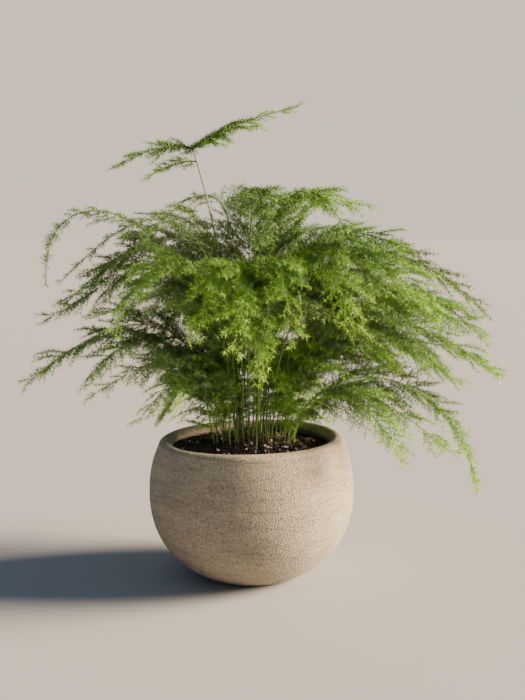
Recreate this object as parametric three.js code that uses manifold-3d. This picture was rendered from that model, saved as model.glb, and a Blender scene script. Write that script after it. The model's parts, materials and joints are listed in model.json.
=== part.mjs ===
// A potted asparagus fern: a rounded stoneware bowl, potting soil, and a clump of wiry stems
// that arch outwards into flat, tiered sprays. The fine needles are not part of this model.
// Millimetres, +Z up. The origin is the centre of the pot's base, on the surface it stands on.

import * as THREE from 'three';
import { mergeVertices } from 'three/addons/utils/BufferGeometryUtils.js';
import Module from 'manifold-3d';

const wasm = await Module();
wasm.setup();

// ---- Pot ----
const POT_RADIUS = 100;
const POT_HEIGHT = 136;
const BELLY_HEIGHT = 82;
const BASE_RADIUS = 45;
const LIP_OUTER_RADIUS = 91;
const MOUTH_RADIUS = 77;
const LIP_DROP = 7;
const UNDERCUT = 3;
const WALL = 11;
const FLOOR = 10;
const WALL_SHAPE = 2.2;
const POT_SIDES = 48;
const OUTSIDE_POINTS = 11;
const LIP_POINTS = 7;
const INSIDE_POINTS = 6;
const INSIDE_CROWDING = 0.6;

// ---- Soil ----
const FIT_GAP = 0.3;
const SOIL_EDGE_HEIGHT = 125;
const SOIL_CROWN_HEIGHT = 128;
const SOIL_SIDES = 32;
const CROWN_POINTS = 4;

// ---- Clump of stems ----
const CLUMP_CENTRE = new THREE.Vector2(0, 20);
const CLUMP_RADIUS = 44;
const STEM_RADIUS = 0.8;
const STEM_SIDES = 4;
const STEM_STEPS = 10;
const STEM_LEAN = 0.1;
const SOCKET_DEPTH = 6;
const FOOT_HEIGHT = SOIL_CROWN_HEIGHT - SOCKET_DEPTH;
// A stem that makes for LOWEST_LIFT stands at the clump's edge, and a higher one further in.
const LOWEST_LIFT = 190;
const LIFT_RANGE = 220;
const INNERMOST = 0.96;
const FOOT_SCATTER = 4;
const FOOT_SEED = 11;
const TURN_SCATTER = 50;
const TURN_SEED = 29;

// ---- Side branches, each length as a share of the frond's longest ----
const SIDE_RADIUS = 0.5;
const SIDE_SIDES = 3;
const SIDE_STEPS = 2;
const SIDE_SPACING = 20;
const FEWEST_SIDES = 4;
const SPRAY_START = 0.36;
const FORK_SPRAY_START = 0.08;
const SPRAY_END = 0.94;
const SPLAY = THREE.MathUtils.degToRad(44);
const SPLAY_SCATTER = THREE.MathUtils.degToRad(16);
const SPLAY_SEED = 17;
const SIDE_ARCH = 0.55;
const SIDE_FORWARD = 0.12;
const SIDE_DROOP = 0.3;
const DROOP_SEED = 23;
// Sprays face the light: a side branch behind rises by this slope, and one in front sinks.
const SIDE_ROLL = 0.35;
const FIRST_SHARE = 0.7;
const SWELL_RATE = 2;
const TAPER = 0.8;
const LENGTH_SCATTER = 0.5;
const LENGTH_SEED = 31;

// ---- Clearance between fronds ----
const LINE_GAP = 2.4;
const SAMPLE_STEP = 2;
// A stem in the way turns by these degrees, and its foot moves round by FOOT_SHIFT times that.
const STEM_BENDS = [0, 2, -2, 4, -4, 6, -6, 8, -8, 10, -10, 12, -12, 14, -14, 16, -16];
const FOOT_SHIFT = 3;
// A side branch in the way rises or sinks by these slopes.
const SIDE_BENDS = [0, 0.12, -0.12, 0.24, -0.24, 0.36, -0.36];

const UP = new THREE.Vector3(0, 0, 1);

// Fronds that turn within an arc about this direction are young and bright; the arc's edge is
// where the cosine of the angle from it falls to SUNNY_COSINE.
const SUNNY_TURN = 320;
const SUNNY_COSINE = 0.2;

// Every arching frond, measured from the clump's centre: the way it turns (degrees from +X),
// the height that its stem makes for, the distance and height that its arch bends over
// towards, the distance and height of its tip, and the length of its longest side branch.
const ARCHING_FRONDS = [
  // left
  [178, 376, 211, 411, 204, 283, 38],
  [187, 400, 102, 376, 187, 284, 34],
  [148, 404, 27, 381, 106, 359, 48],
  [166, 396, 86, 345, 121, 354, 48],
  [186, 398, 112, 297, 200, 250, 54],
  [173, 386, 89, 356, 193, 262, 54],
  [199, 374, 108, 257, 163, 254, 48],
  [190, 271, 118, 276, 216, 192, 45],
  [174, 328, 67, 261, 113, 254, 42],
  [207, 243, 120, 260, 168, 201, 42],
  [196, 217, 66, 238, 155, 180, 38],
  [216, 250, 52, 236, 130, 160, 36],
  [160, 222, 62, 205, 102, 138, 34],
  [182, 318, 64, 276, 98, 220, 46],
  // right
  [22, 401, -20, 383, 134, 361, 36],
  [48, 405, 43, 358, 129, 383, 45],
  [-16, 398, 109, 331, 159, 318, 48],
  [1, 385, 168, 326, 232, 253, 50],
  [8, 340, 146, 275, 241, 249, 48],
  [-10, 343, 160, 264, 222, 244, 48],
  [-3, 302, 161, 262, 240, 195, 46],
  [19, 255, 132, 263, 231, 177, 42],
  [-8, 230, 199, 220, 222, 84, 42],
  [-21, 228, 147, 173, 207, 125, 34],
  [-35, 184, 117, 214, 172, 125, 32],
  [-2, 262, 95, 245, 150, 198, 40],
  [30, 240, 95, 290, 225, 180, 42],
  [20, 275, 105, 270, 160, 190, 42],
  // front
  [266, 330, 110, 350, 166, 236, 46],
  [283, 340, 110, 355, 164, 240, 46],
  [301, 340, 110, 360, 170, 256, 48],
  [254, 330, 100, 350, 160, 244, 46],
  [318, 345, 110, 372, 175, 282, 50],
  [238, 330, 110, 355, 176, 256, 48],
  [335, 325, 120, 348, 186, 256, 48],
  [275, 392, 80, 412, 130, 328, 50],
  [310, 385, 80, 402, 126, 340, 50],
  [222, 370, 80, 390, 130, 322, 50],
  [345, 380, 70, 403, 102, 350, 44],
  [272, 305, 100, 322, 150, 216, 44],
  // back
  [92, 385, 90, 412, 150, 334, 52],
  [68, 340, 110, 365, 180, 286, 52],
  [118, 340, 110, 368, 180, 286, 52],
  [142, 305, 120, 335, 190, 246, 50],
  [41, 345, 105, 380, 170, 300, 50],
  [96, 270, 110, 280, 170, 180, 48],
  [72, 225, 95, 225, 150, 130, 42],
  [124, 220, 95, 225, 155, 132, 42],
  [60, 235, 80, 245, 135, 150, 42],
];

// The tallest shoot stands clear of the rest and forks at its top into four sprays.
const TALL_FOOT = [-12, 24, 122];
const TALL_LEAN = [[-14, 24, 230], [-34, 22, 345], [-58, 20, 418]];
const TALL_DROOP = 0.1;
const TALL_SPRAYS = [
  { at: 0.99, ends: [[-42, 16, 430], [0, 10, 443], [44, 4, 452]], spread: 30 },
  { at: 0.985, ends: [[-76, 18, 423], [-105, 16, 411], [-134, 14, 397]], spread: 26 },
  { at: 0.985, ends: [[-50, 8, 421], [-38, 4, 421], [-24, 2, 416]], spread: 14 },
  { at: 0.945, ends: [[-68, 22, 405], [-88, 24, 396], [-106, 26, 385]], spread: 18 },
];

// Young shoots: where each foot and tip is.
const SHOOT_BEND_SHARE = 0.6;
const SHOOTS = [
  [[-34, 8, 122], [-40, 4, 205]],
  [[-21, -6, 122], [-24, -12, 188]],
  [[5, -12, 122], [14, -20, 202]],
  [[42, 12, 122], [52, 8, 158]],
];

// Fronds are numbered in the order of the table, with the tallest and the shoots after them.
const TALL = ARCHING_FRONDS.length;
const FIRST_SHOOT = TALL + 1;

// ---- Loose pieces on the soil: x, y and a grain's radius or a chip's angle ----
const GRAIN_SHAPE = [1, 0.85, 0.75];
const PERLITE = [
  [0, 0, 2.1],
  [32, -16, 1.9],
];
const BARK_SIZE = [11, 6, 2.6];
const BARK = [
  [56, 22, 0.6],
  [-56, 2, 2.5],
];

// ---- Small helpers ----

// A repeatable number from 0 to 1 for each whole number.
function scatter(seed) {
  const value = Math.sin(seed * 12.9898) * 43758.5453;
  return value - Math.floor(value);
}

function evenly(count, draw) {
  return Array.from({ length: count }, (_, step) => draw(step / (count - 1)));
}

function radial(turn, distance, height) {
  const angle = THREE.MathUtils.degToRad(turn);
  const x = CLUMP_CENTRE.x + distance * Math.cos(angle);
  const y = CLUMP_CENTRE.y + distance * Math.sin(angle);
  return new THREE.Vector3(x, y, height);
}

function circle(radius, sides) {
  const shape = new THREE.Shape();
  for (let side = 0; side < sides; side += 1) {
    const angle = (2 * Math.PI * side) / sides;
    const x = radius * Math.cos(angle);
    const y = radius * Math.sin(angle);
    if (side === 0) shape.moveTo(x, y);
    else shape.lineTo(x, y);
  }
  shape.closePath();
  return shape;
}

function tube(path, radius, sides, steps) {
  const section = circle(radius, sides);
  return new THREE.ExtrudeGeometry(section, { steps, extrudePath: path, bevelEnabled: false });
}

function toSolid(geometry) {
  const plain = new THREE.BufferGeometry();
  plain.setAttribute('position', geometry.getAttribute('position'));
  if (geometry.index) plain.setIndex(geometry.index);
  const merged = mergeVertices(plain, 1e-4);
  const vertProperties = new Float32Array(merged.getAttribute('position').array);
  const triVerts = new Uint32Array(merged.index.array);
  const mesh = new wasm.Mesh({ numProp: 3, vertProperties, triVerts });
  return new wasm.Manifold(mesh);
}

function toGeometry(solid) {
  const mesh = solid.getMesh();
  const geometry = new THREE.BufferGeometry();
  geometry.setAttribute('position', new THREE.BufferAttribute(mesh.vertProperties, 3));
  geometry.setIndex(new THREE.BufferAttribute(mesh.triVerts, 1));
  geometry.computeVertexNormals();
  return geometry;
}

function lathe(profile, sides) {
  const geometry = new THREE.LatheGeometry(profile, sides);
  geometry.rotateX(Math.PI / 2);
  return toSolid(geometry);
}

// ---- Keeping branches clear of each other ----

const placed = [];

// Points along a tube, which is straight between its steps.
function samples(path, steps) {
  const joints = path.getSpacedPoints(steps);
  return joints.slice(1).flatMap((joint, step) => {
    const count = Math.ceil(joint.distanceTo(joints[step]) / SAMPLE_STEP);
    return evenly(count + 1, (share) => joints[step].clone().lerp(joint, share));
  });
}

function isClear(points, owner) {
  for (const other of placed) {
    if (other.owner === owner) continue;
    for (const point of points) {
      for (const taken of other.points) {
        if (point.distanceTo(taken) < LINE_GAP) return false;
      }
    }
  }
  return true;
}

// Draws the path for each bend in turn and keeps the first one that is clear of other fronds.
function placeClear(owner, steps, bends, draw) {
  for (const bend of bends) {
    const path = draw(bend);
    const points = samples(path, steps);
    if (isClear(points, owner)) {
      placed.push({ owner, points });
      return path;
    }
  }
  return null;
}

// ---- Fronds ----

function archingStem(row, number) {
  const [turn, lift, overDistance, overHeight, tipDistance, tipHeight] = row;
  const inward = THREE.MathUtils.clamp((lift - LOWEST_LIFT) / LIFT_RANGE, 0, INNERMOST);
  const nudge = FOOT_SCATTER * scatter(number + FOOT_SEED);
  const footDistance = CLUMP_RADIUS * Math.sqrt(1 - inward) - nudge;
  const leanDistance = footDistance + STEM_LEAN * tipDistance;
  const footTurn = turn + TURN_SCATTER * (scatter(number + TURN_SEED) - 0.5);
  return placeClear(number, STEM_STEPS, STEM_BENDS, (bend) => new THREE.CubicBezierCurve3(
    radial(footTurn + FOOT_SHIFT * bend, footDistance, FOOT_HEIGHT),
    radial(footTurn + FOOT_SHIFT * bend, leanDistance, lift),
    radial(turn + bend, overDistance, overHeight),
    radial(turn + bend, tipDistance, tipHeight),
  ));
}

// A point on a stem's tube, which is straight between its steps.
function onStem(stem, place) {
  const joints = stem.getSpacedPoints(STEM_STEPS);
  const step = Math.min(Math.floor(place * STEM_STEPS), STEM_STEPS - 1);
  return joints[step].clone().lerp(joints[step + 1], place * STEM_STEPS - step);
}

// One side branch: it leaves the rachis at an angle, in the plane of the spray, and its end
// sinks by a share of its length.
function sideBranch(rachis, place, { side, length, splay, droop, rise }) {
  const start = onStem(rachis, place);
  const ahead = rachis.getTangentAt(place);
  const across = new THREE.Vector3().crossVectors(UP, ahead).normalize().multiplyScalar(side);
  const out = ahead.clone().multiplyScalar(Math.cos(splay));
  out.addScaledVector(across, Math.sin(splay)).addScaledVector(UP, rise + SIDE_ROLL * across.y);
  out.normalize();
  const middle = start.clone().addScaledVector(out, SIDE_ARCH * length);
  const end = start.clone().addScaledVector(out, length);
  end.addScaledVector(ahead, SIDE_FORWARD * length).addScaledVector(UP, -droop * length);
  return new THREE.QuadraticBezierCurve3(start, middle, end);
}

// Side branches alternate along a rachis. They are longest a little way out and shrink
// towards its tip, and one that can't be placed clear of other fronds is left out.
function sideBranches(owner, rachis, from, spread, sink) {
  const run = rachis.getLength() * (SPRAY_END - from);
  const count = Math.max(FEWEST_SIDES, Math.round(run / SIDE_SPACING));
  const branches = [];
  for (let step = 0; step < count; step += 1) {
    const along = (step + 0.5) / count;
    const place = THREE.MathUtils.lerp(from, SPRAY_END, along);
    const swell = Math.min(1, FIRST_SHARE + SWELL_RATE * along);
    const vary = 1 + LENGTH_SCATTER * (scatter(owner * LENGTH_SEED + step) - 0.5);
    const length = spread * swell * vary * (1 - TAPER * along);
    const splay = SPLAY + SPLAY_SCATTER * (scatter(owner * SPLAY_SEED + step) - 0.5);
    const droop = sink * (0.5 + scatter(owner * DROOP_SEED + step));
    const side = (step + owner) % 2 === 0 ? 1 : -1;
    const branch = placeClear(owner, SIDE_STEPS, SIDE_BENDS, (rise) => (
      sideBranch(rachis, place, { side, length, splay, droop, rise })
    ));
    if (branch) branches.push(branch);
  }
  return branches;
}

function join(stemPaths, sidePaths) {
  const parts = [
    ...stemPaths.map((path) => toSolid(tube(path, STEM_RADIUS, STEM_SIDES, STEM_STEPS))),
    ...sidePaths.map((path) => toSolid(tube(path, SIDE_RADIUS, SIDE_SIDES, SIDE_STEPS))),
  ];
  return wasm.Manifold.union(parts);
}

function curveFrom(start, ends) {
  const points = ends.map(([x, y, z]) => new THREE.Vector3(x, y, z));
  return new THREE.CubicBezierCurve3(start, ...points);
}

// The whole tallest frond: its stem, the sprays that it forks into and their side branches.
function makeTallFrond(owner, stem) {
  const sprays = TALL_SPRAYS.map(({ at, ends }) => curveFrom(onStem(stem, at), ends));
  const sides = sprays.flatMap((spray, fork) => (
    sideBranches(owner, spray, FORK_SPRAY_START, TALL_SPRAYS[fork].spread, TALL_DROOP)
  ));
  return join([stem, ...sprays], sides);
}

// A young shoot rises straight from its foot and leans over to its tip.
function shootPath([foot, tip], number) {
  const start = new THREE.Vector3(...foot);
  const end = new THREE.Vector3(...tip);
  const height = THREE.MathUtils.lerp(start.z, end.z, SHOOT_BEND_SHARE);
  const bend = new THREE.Vector3(start.x, start.y, height);
  const path = new THREE.QuadraticBezierCurve3(start, bend, end);
  placed.push({ owner: FIRST_SHOOT + number, points: samples(path, STEM_STEPS) });
  return path;
}

// ---- Solids ----

// The pot's outer wall: a superellipse through the base's edge, the belly and the lip.
function wallRadius(height) {
  const below = height < BELLY_HEIGHT;
  const endRadius = below ? BASE_RADIUS : LIP_OUTER_RADIUS;
  const endOffset = below ? BELLY_HEIGHT : POT_HEIGHT - LIP_DROP - BELLY_HEIGHT;
  const share = Math.abs(height - BELLY_HEIGHT) / endOffset;
  const loss = (1 - (endRadius / POT_RADIUS) ** WALL_SHAPE) * share ** WALL_SHAPE;
  return POT_RADIUS * (1 - loss) ** (1 / WALL_SHAPE);
}

// The inside of the wall, from the soil's edge down to the floor. Soil uses it with a gap.
function insideProfile(gap) {
  const top = new THREE.Vector2(MOUTH_RADIUS + UNDERCUT - gap, SOIL_EDGE_HEIGHT);
  const wall = evenly(INSIDE_POINTS, (share) => {
    const depth = share ** INSIDE_CROWDING;
    const height = THREE.MathUtils.lerp(SOIL_EDGE_HEIGHT - WALL, FLOOR + gap, depth);
    return new THREE.Vector2(wallRadius(height) - WALL - gap, height);
  });
  return [top, ...wall, new THREE.Vector2(0, FLOOR + gap)];
}

function makePot() {
  const lipHeight = POT_HEIGHT - LIP_DROP;
  const lipHalf = (LIP_OUTER_RADIUS - MOUTH_RADIUS) / 2;
  const wall = evenly(OUTSIDE_POINTS, (share) => {
    const height = lipHeight * (1 - Math.cos((Math.PI * share) / 2));
    return new THREE.Vector2(wallRadius(height), height);
  });
  const lip = evenly(LIP_POINTS, (share) => {
    const angle = Math.PI * share;
    const radius = MOUTH_RADIUS + lipHalf + lipHalf * Math.cos(angle);
    return new THREE.Vector2(radius, lipHeight + LIP_DROP * Math.sin(angle));
  });
  const bottom = new THREE.Vector2(0, 0);
  return lathe([bottom, ...wall, ...lip.slice(1), ...insideProfile(0)], POT_SIDES);
}

function soilHeight(radius) {
  const share = radius / MOUTH_RADIUS;
  return THREE.MathUtils.lerp(SOIL_CROWN_HEIGHT, SOIL_EDGE_HEIGHT, share * share);
}

// The hole that a stem stands in, along the first straight stretch of its tube.
function socket(path) {
  const [foot, next] = path.getSpacedPoints(STEM_STEPS);
  const along = next.clone().sub(foot).normalize();
  const low = foot.clone().addScaledVector(along, -FIT_GAP);
  const high = foot.clone().addScaledVector(along, 2 * SOCKET_DEPTH);
  const drill = new THREE.LineCurve3(low, high);
  return toSolid(tube(drill, STEM_RADIUS + FIT_GAP, STEM_SIDES, 1));
}

function makeSoil(stems) {
  const [edge, ...wall] = insideProfile(FIT_GAP);
  const crown = evenly(CROWN_POINTS, (share) => {
    const radius = share * MOUTH_RADIUS;
    return new THREE.Vector2(radius, soilHeight(radius));
  });
  const profile = [...crown, edge, ...wall];
  const soil = lathe(profile.reverse(), SOIL_SIDES);
  return wasm.Manifold.difference([soil, ...stems.map(socket)]);
}

// ---- Loose pieces ----

function surfaceAt(x, y) {
  return soilHeight(Math.hypot(x, y)) + FIT_GAP;
}

function makeGrain(x, y, size, seed) {
  const geometry = new THREE.IcosahedronGeometry(size, 0);
  geometry.scale(...GRAIN_SHAPE);
  geometry.rotateZ(seed);
  geometry.translate(x, y, surfaceAt(x, y) + GRAIN_SHAPE[2] * size);
  return toSolid(geometry);
}

function makeBark(x, y, angle) {
  const geometry = new THREE.BoxGeometry(...BARK_SIZE);
  geometry.rotateZ(angle);
  geometry.translate(x, y, surfaceAt(x, y) + BARK_SIZE[2] / 2 + FIT_GAP);
  return toSolid(geometry);
}

// ---- Materials ----

function isFresh(turn) {
  return Math.cos(THREE.MathUtils.degToRad(turn - SUNNY_TURN)) > SUNNY_COSINE;
}

function finish(color, roughness) {
  return new THREE.MeshStandardMaterial({ color, roughness, metalness: 0 });
}

const STONEWARE = finish('#b5a48c', 0.85);
const SOIL = finish('#2e2118', 0.95);
const FRESH_GREEN = finish('#8fae3c', 0.6);
const MATURE_GREEN = finish('#4f6b2b', 0.6);
const WHITE_GRAIN = finish('#e8e6df', 0.9);
const BARK_BROWN = finish('#5a3c26', 0.9);

// ---- Assembly ----

const plant = new THREE.Group();

function add(name, solid, material) {
  const mesh = new THREE.Mesh(toGeometry(solid), material);
  mesh.name = name;
  plant.add(mesh);
}

const tallStem = curveFrom(new THREE.Vector3(...TALL_FOOT), TALL_LEAN);
placed.push({ owner: TALL, points: samples(tallStem, STEM_STEPS) });
const shoots = SHOOTS.map(shootPath);
const stems = ARCHING_FRONDS.map(archingStem);

add('pot', makePot(), STONEWARE);
add('soil', makeSoil([tallStem, ...shoots, ...stems]), SOIL);
add('frond_tall', makeTallFrond(TALL, tallStem), FRESH_GREEN);
stems.forEach((stem, number) => {
  const [turn, , , , , , spread] = ARCHING_FRONDS[number];
  const sides = sideBranches(number, stem, SPRAY_START, spread, SIDE_DROOP);
  const name = `frond_${String(number + 1).padStart(2, '0')}`;
  add(name, join([stem], sides), isFresh(turn) ? FRESH_GREEN : MATURE_GREEN);
});
shoots.forEach((shoot, number) => {
  add(`shoot_${number + 1}`, join([shoot], []), FRESH_GREEN);
});
PERLITE.forEach(([x, y, size], number) => {
  add(`perlite_${number + 1}`, makeGrain(x, y, size, number), WHITE_GRAIN);
});
BARK.forEach(([x, y, angle], number) => {
  add(`bark_${number + 1}`, makeBark(x, y, angle), BARK_BROWN);
});

export default plant;
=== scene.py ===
"""A lace asparagus fern in a rounded stoneware bowl.

Lengths are in millimetres until a mesh is made. +Z is up, and the origin is the centre of the
bowl's base. Every surface is worked out with numpy as whole arrays.
"""

import json
import math

import bpy
import numpy as np
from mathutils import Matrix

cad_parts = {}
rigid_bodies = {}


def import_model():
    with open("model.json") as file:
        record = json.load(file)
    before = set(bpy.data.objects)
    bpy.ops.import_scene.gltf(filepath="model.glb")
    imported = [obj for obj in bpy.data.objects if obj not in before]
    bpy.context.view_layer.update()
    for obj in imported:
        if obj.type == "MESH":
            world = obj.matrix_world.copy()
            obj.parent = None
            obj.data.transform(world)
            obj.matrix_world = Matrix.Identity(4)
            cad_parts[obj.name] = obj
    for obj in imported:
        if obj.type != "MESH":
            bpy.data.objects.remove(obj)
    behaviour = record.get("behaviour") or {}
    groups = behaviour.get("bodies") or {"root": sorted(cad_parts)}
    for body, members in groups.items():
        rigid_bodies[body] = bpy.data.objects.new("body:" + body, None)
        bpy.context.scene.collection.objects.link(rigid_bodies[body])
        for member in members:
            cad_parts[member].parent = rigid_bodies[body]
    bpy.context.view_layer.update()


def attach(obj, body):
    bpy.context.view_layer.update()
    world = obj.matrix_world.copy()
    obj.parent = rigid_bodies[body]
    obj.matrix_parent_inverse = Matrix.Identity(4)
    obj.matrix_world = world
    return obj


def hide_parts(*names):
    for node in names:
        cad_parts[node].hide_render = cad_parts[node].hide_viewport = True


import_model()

MM = 0.001
UP = np.array([0.0, 0.0, 1.0])

# ---- Bowl ----
POT_RADIUS = 100.0
POT_HEIGHT = 136.0
BELLY_HEIGHT = 82.0
BASE_RADIUS = 45.0
LIP_OUTER_RADIUS = 91.0
MOUTH_RADIUS = 77.0
LIP_DROP = 7.0
UNDERCUT = 3.0
WALL = 11.0
FLOOR = 10.0
WALL_SHAPE = 2.2

# ---- Soil ----
SOIL_EDGE_HEIGHT = 125.0
SOIL_CROWN_HEIGHT = 128.0
# The soil stays this clear of the wall.
SOIL_GAP = 0.3

# ---- Clump of stems, as in the CAD ----
CLUMP_CENTRE = np.array([0.0, 20.0, 0.0])
CLUMP_RADIUS = 44.0
STEM_STEPS = 10
STEM_LEAN = 0.1
SOCKET_DEPTH = 6.0
FOOT_HEIGHT = SOIL_CROWN_HEIGHT - SOCKET_DEPTH
LOWEST_LIFT = 190.0
LIFT_RANGE = 220.0
INNERMOST = 0.96
FOOT_SCATTER = 4.0
FOOT_SEED = 11
TURN_SCATTER = 50.0
TURN_SEED = 29

# ---- Side branches, as in the CAD ----
SIDE_STEPS = 2
SIDE_SPACING = 20.0
FEWEST_SIDES = 4
SPRAY_START = 0.36
FORK_SPRAY_START = 0.08
SPRAY_END = 0.94
SPLAY = math.radians(44)
SPLAY_SCATTER = math.radians(16)
SPLAY_SEED = 17
SIDE_ARCH = 0.55
SIDE_FORWARD = 0.12
SIDE_DROOP = 0.3
DROOP_SEED = 23
SIDE_ROLL = 0.35
FIRST_SHARE = 0.7
SWELL_RATE = 2.0
TAPER = 0.8
LENGTH_SCATTER = 0.5
LENGTH_SEED = 31

# ---- Clearance between fronds, as in the CAD ----
LINE_GAP = 2.4
SAMPLE_STEP = 2.0
STEM_BENDS = [0, 2, -2, 4, -4, 6, -6, 8, -8, 10, -10, 12, -12, 14, -14, 16, -16]
FOOT_SHIFT = 3.0
SIDE_BENDS = [0, 0.12, -0.12, 0.24, -0.24, 0.36, -0.36]

# Fronds are painted younger and brighter the nearer they turn to this way, the sunny side, and
# older and darker away from it: painted light and painted shade, by the cosine of the angle between.
SUNNY_TURN = 320.0

# Every arching frond, as in the CAD: its turn, the height that its stem makes for, the
# distance and height that it bends over towards, those of its tip, and its widest branch.
ARCHING_FRONDS = [
    # left
    [178, 376, 211, 411, 204, 283, 38],
    [187, 400, 102, 376, 187, 284, 34],
    [148, 404, 27, 381, 106, 359, 48],
    [166, 396, 86, 345, 121, 354, 48],
    [186, 398, 112, 297, 200, 250, 54],
    [173, 386, 89, 356, 193, 262, 54],
    [199, 374, 108, 257, 163, 254, 48],
    [190, 271, 118, 276, 216, 192, 45],
    [174, 328, 67, 261, 113, 254, 42],
    [207, 243, 120, 260, 168, 201, 42],
    [196, 217, 66, 238, 155, 180, 38],
    [216, 250, 52, 236, 130, 160, 36],
    [160, 222, 62, 205, 102, 138, 34],
    [182, 318, 64, 276, 98, 220, 46],
    # right
    [22, 401, -20, 383, 134, 361, 36],
    [48, 405, 43, 358, 129, 383, 45],
    [-16, 398, 109, 331, 159, 318, 48],
    [1, 385, 168, 326, 232, 253, 50],
    [8, 340, 146, 275, 241, 249, 48],
    [-10, 343, 160, 264, 222, 244, 48],
    [-3, 302, 161, 262, 240, 195, 46],
    [19, 255, 132, 263, 231, 177, 42],
    [-8, 230, 199, 220, 222, 84, 42],
    [-21, 228, 147, 173, 207, 125, 34],
    [-35, 184, 117, 214, 172, 125, 32],
    [-2, 262, 95, 245, 150, 198, 40],
    [30, 240, 95, 290, 225, 180, 42],
    [20, 275, 105, 270, 160, 190, 42],
    # front
    [266, 330, 110, 350, 166, 236, 46],
    [283, 340, 110, 355, 164, 240, 46],
    [301, 340, 110, 360, 170, 256, 48],
    [254, 330, 100, 350, 160, 244, 46],
    [318, 345, 110, 372, 175, 282, 50],
    [238, 330, 110, 355, 176, 256, 48],
    [335, 325, 120, 348, 186, 256, 48],
    [275, 392, 80, 412, 130, 328, 50],
    [310, 385, 80, 402, 126, 340, 50],
    [222, 370, 80, 390, 130, 322, 50],
    [345, 380, 70, 403, 102, 350, 44],
    [272, 305, 100, 322, 150, 216, 44],
    # back
    [92, 385, 90, 412, 150, 334, 52],
    [68, 340, 110, 365, 180, 286, 52],
    [118, 340, 110, 368, 180, 286, 52],
    [142, 305, 120, 335, 190, 246, 50],
    [41, 345, 105, 380, 170, 300, 50],
    [96, 270, 110, 280, 170, 180, 48],
    [72, 225, 95, 225, 150, 130, 42],
    [124, 220, 95, 225, 155, 132, 42],
    [60, 235, 80, 245, 135, 150, 42],
]

# The tall frond: the sprays that it forks into, each with its place on the stem, the rest of
# its curve and its widest branch.
TALL_STEM = [[-12, 24, 122], [-14, 24, 230], [-34, 22, 345], [-58, 20, 418]]
TALL_DROOP = 0.1
# The tall frond is painted brighter than its age, as painted light on its dense, shaded sprays.
TALL_YOUTH_AND_PAINTED_LIGHT = 1.5
TALL_SPRAYS = [
    {"at": 0.99, "ends": [[-42, 16, 430], [0, 10, 443], [44, 4, 452]], "spread": 30},
    {"at": 0.985, "ends": [[-76, 18, 423], [-105, 16, 411], [-134, 14, 397]], "spread": 26},
    {"at": 0.985, "ends": [[-50, 8, 421], [-38, 4, 421], [-24, 2, 416]], "spread": 14},
    {"at": 0.945, "ends": [[-68, 22, 405], [-88, 24, 396], [-106, 26, 385]], "spread": 18},
]
# Two short sprays at the fork, which only the visual model has.
SHORT_SPRAYS = [
    {"at": 0.985, "ends": [[-40, 8, 430], [-14, 2, 434], [9, -4, 433]], "spread": 28},
    {"at": 0.985, "ends": [[-66, 12, 421], [-82, 8, 414], [-98, 6, 405]], "spread": 26},
]
SHOOT_BEND_SHARE = 0.6
SHOOTS = [
    [[-34, 8, 122], [-40, 4, 205]],
    [[-21, -6, 122], [-24, -12, 188]],
    [[5, -12, 122], [14, -20, 202]],
    [[42, 12, 122], [52, 8, 158]],
]
TALL = len(ARCHING_FRONDS)
FIRST_SHOOT = TALL + 1

# ---- Loose pieces on the soil, as in the CAD: x, y and a grain's radius or a chip's angle ----
GRAIN_SHAPE = np.array([1, 0.85, 0.75])
PERLITE = [[0, 0, 2.1], [32, -16, 1.9]]
BARK_SIZE = np.array([11, 6, 2.6])
BARK = [[56, 22, 0.6], [-56, 2, 2.5]]

# ---- Growth that only the visual model has ----
STEM_RINGS = 44
STEM_SIDES = 7
STEM_FOOT_RADIUS = 0.62
STEM_TIP_RADIUS = 0.25
STEM_TAPER = 0.8
# The tall stem thickens to this where it forks, and its sprays start as thick.
FORKING_RADIUS = 0.78
BRANCH_RADII = 0.34, 0.16
TWIG_RADII = 0.17, 0.1
# Where the leafy part begins, as a share of the length, on fronds that rise less than LOW_LIFT.
LOW_LIFT = 280.0
LOW_SPRAY_START = 0.24
# Filler branches stand between the CAD's. Their lengths and droops are shares of the CAD's, and
# they leave a drooping frond more level than itself.
FILLER_SPACING = 6.8
FILLER_LENGTHS = 0.5, 1.35
FILLER_RISES = -0.16, 0.22
FILLER_DROOPS = 0.1, 1.1
LEVELLED = np.array([1.0, 1.0, 0.6])
# Basal branches stand on the bare lower stems: at most this many on 400 mm, from this share of
# the length up, with their feet no lower than BASAL_LOWEST.
BASAL_COUNT = 26
BASAL_START = 0.08
BASAL_LOWEST = 140.0
BASAL_LENGTHS = 12.0, 42.0
BASAL_SWING = 1.9
BASAL_ARCH = 0.55
BASAL_DROOP = 0.45
# Their ends stay above the lip where they are further than this from the bowl's axis.
BASAL_REACH = 56.0
BASAL_CLEAR = POT_HEIGHT + 13
# One in this many of their tufts is left.
BASAL_THINNING = 2
# Ages run from 0, for the oldest growth, to 1, for the youngest. A frond's branches start at
# OLDEST and gain YOUNGEST where it is fresh; that freshness holds painted light and shade as well
# as age, and wood looks younger than the needles on it.
OLDEST = 0.06
YOUNGEST = 0.55
BASAL_AGE = 0.48
WOOD_YOUNGER = 0.05
# How young a frond looks, by its number, where that isn't worked out from the way it turns. The
# values also paint light and shade: lower where a frond should look shaded, and above 1 on fronds in
# the shade of others, whose colour is painted brighter to make up for it.
YOUTH_AND_PAINTED_LIGHT = {1: 0.1, 2: 0.05, 3: 0.2, 4: 0.15, 5: 0.1, 6: 0.1, 7: 0.35, 8: 0.35, 9: 1.0, 10: 0.6,
             11: 0.7, 12: 1.2, 13: 1.3, 14: 1.2, 15: 0.7, 16: 0.7, 17: 0.65, 18: 0.25, 19: 0.25,
             20: 0.7, 21: 0.75, 22: 0.75, 23: 0.8, 24: 1.0, 25: 1.1, 26: 1.15, 27: 1.05, 28: 1.15,
             29: 0.8, 30: 0.92, 31: 0.88, 32: 0.8, 33: 0.7, 34: 0.55, 35: 0.75, 36: 0.2,
             37: 0.8, 38: 0.05, 39: 0.85, 40: 0.85, 46: 1.0, 47: 1.0, 48: 1.0, 49: 1.0}
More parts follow.
